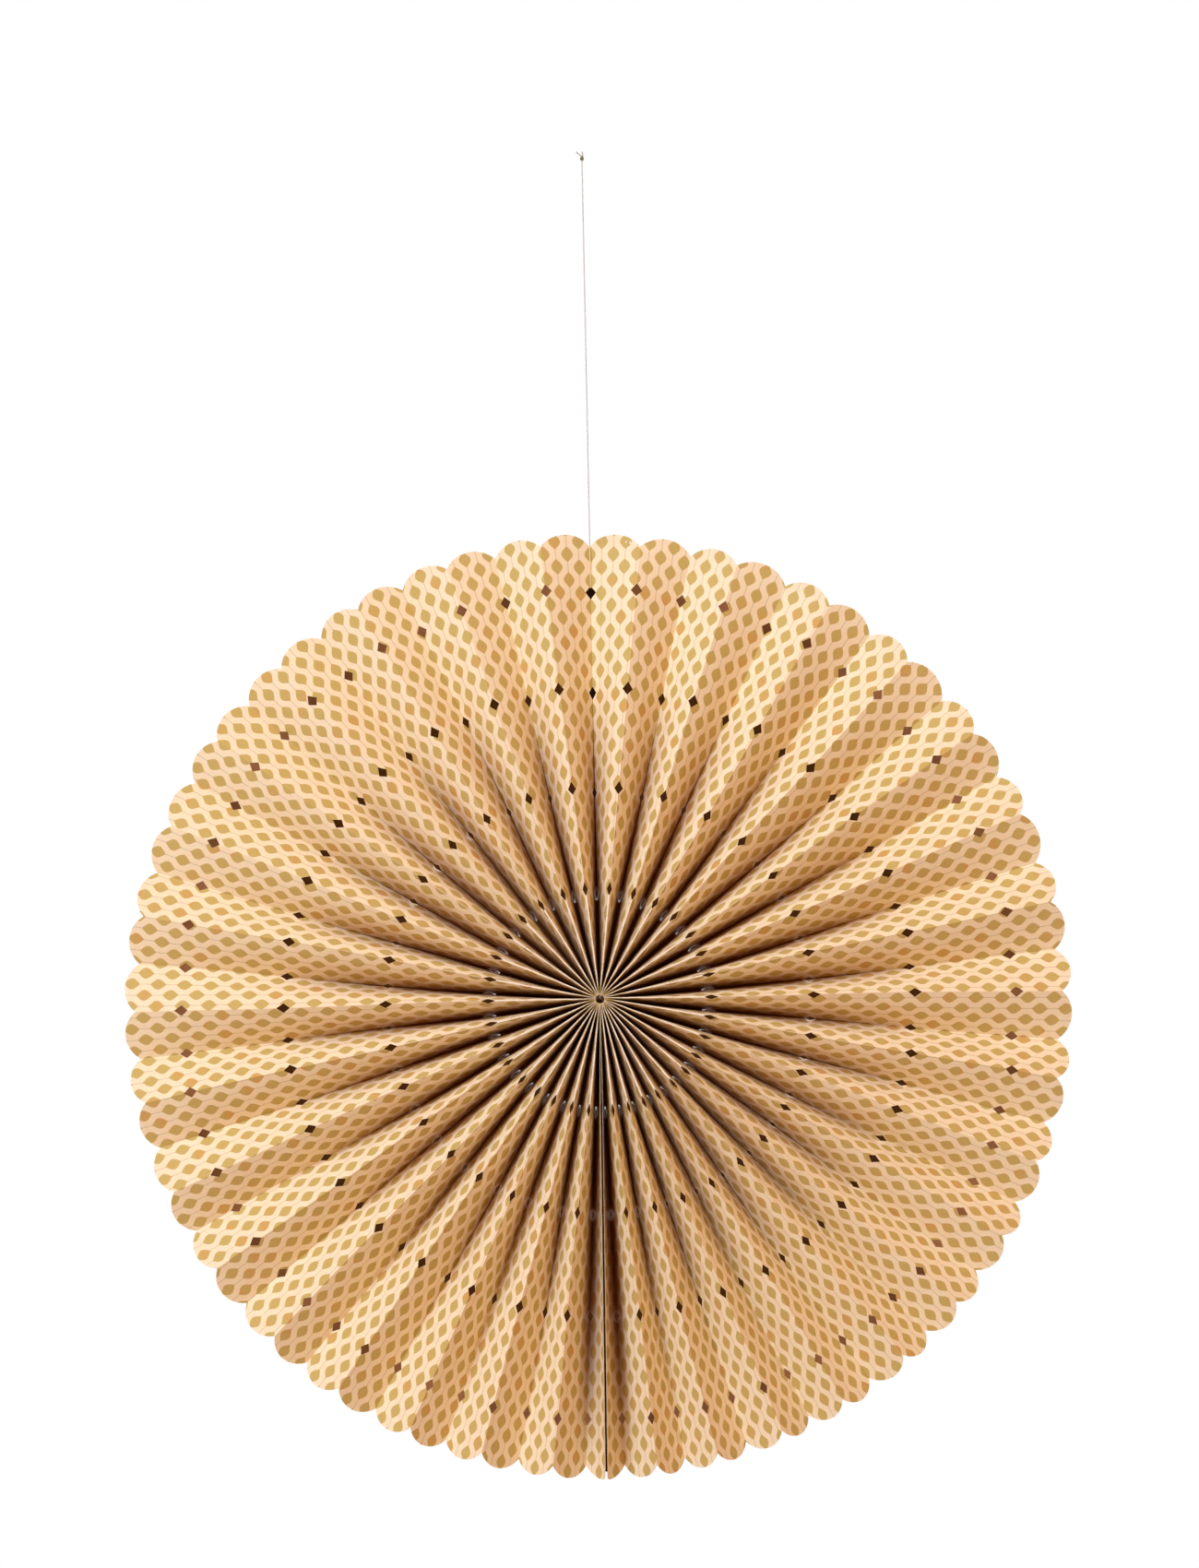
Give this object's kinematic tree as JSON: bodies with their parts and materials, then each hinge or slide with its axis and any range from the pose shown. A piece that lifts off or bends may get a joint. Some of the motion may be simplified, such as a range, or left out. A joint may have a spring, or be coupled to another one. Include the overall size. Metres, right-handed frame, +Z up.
{
  "type": "paper fan rosette",
  "caption": "Round hanging decoration of pleated printed paper with a scalloped edge and diamond holes on its folds, on a doubled thread.",
  "frame": {"origin": "top of the thread loop, just under its knot, where a nail or hook holds it", "axes": "+Z up along the hanging thread, -Y out of the printed front, X across the fan"},
  "size_m": [0.399, 0.0224, 0.5671],
  "materials": {
    "printed_paper": "matte",
    "adhesive_strip": "matte",
    "binding_thread": "matte",
    "thread": "matte"
  },
  "bodies": {
    "root": {"pleated_paper": "printed_paper", "seam_strip": "adhesive_strip", "binding_thread": "binding_thread", "hanging_thread": "thread", "thread_knot": "thread"}
  },
  "joints": []
}
